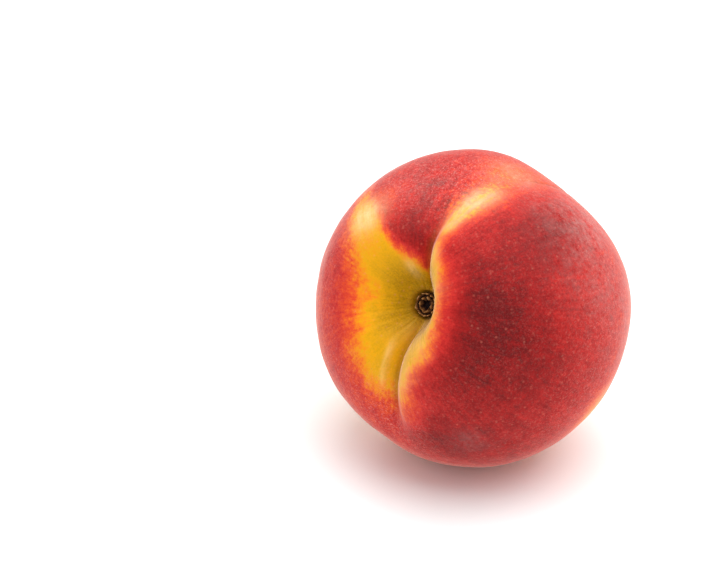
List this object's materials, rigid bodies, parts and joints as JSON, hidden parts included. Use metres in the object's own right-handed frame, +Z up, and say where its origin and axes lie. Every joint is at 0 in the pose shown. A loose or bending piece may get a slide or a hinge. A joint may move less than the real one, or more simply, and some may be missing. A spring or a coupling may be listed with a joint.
{
  "type": "peach",
  "caption": "Ripe downy peach lying on its back, with a deep stalk hollow, a seam between two full cheeks, a corky stalk scar and a small flat spot to rest on.",
  "frame": {"origin": "on the table under the middle of the fruit's bounding box, in the flat spot that it rests on", "axes": "+Z up, with the seam on top; -Y is the front, where the stalk hollow faces, with the core raised 26 degrees above the table; +X is the fuller cheek"},
  "size_m": [0.075, 0.0704, 0.0712],
  "materials": {
    "skin": "matt red and yellow skin with a fine pale down",
    "cork": "rough dry brown cork"
  },
  "bodies": {
    "root": {"peach_fruit": "skin", "stalk_scar": "cork"}
  },
  "joints": []
}
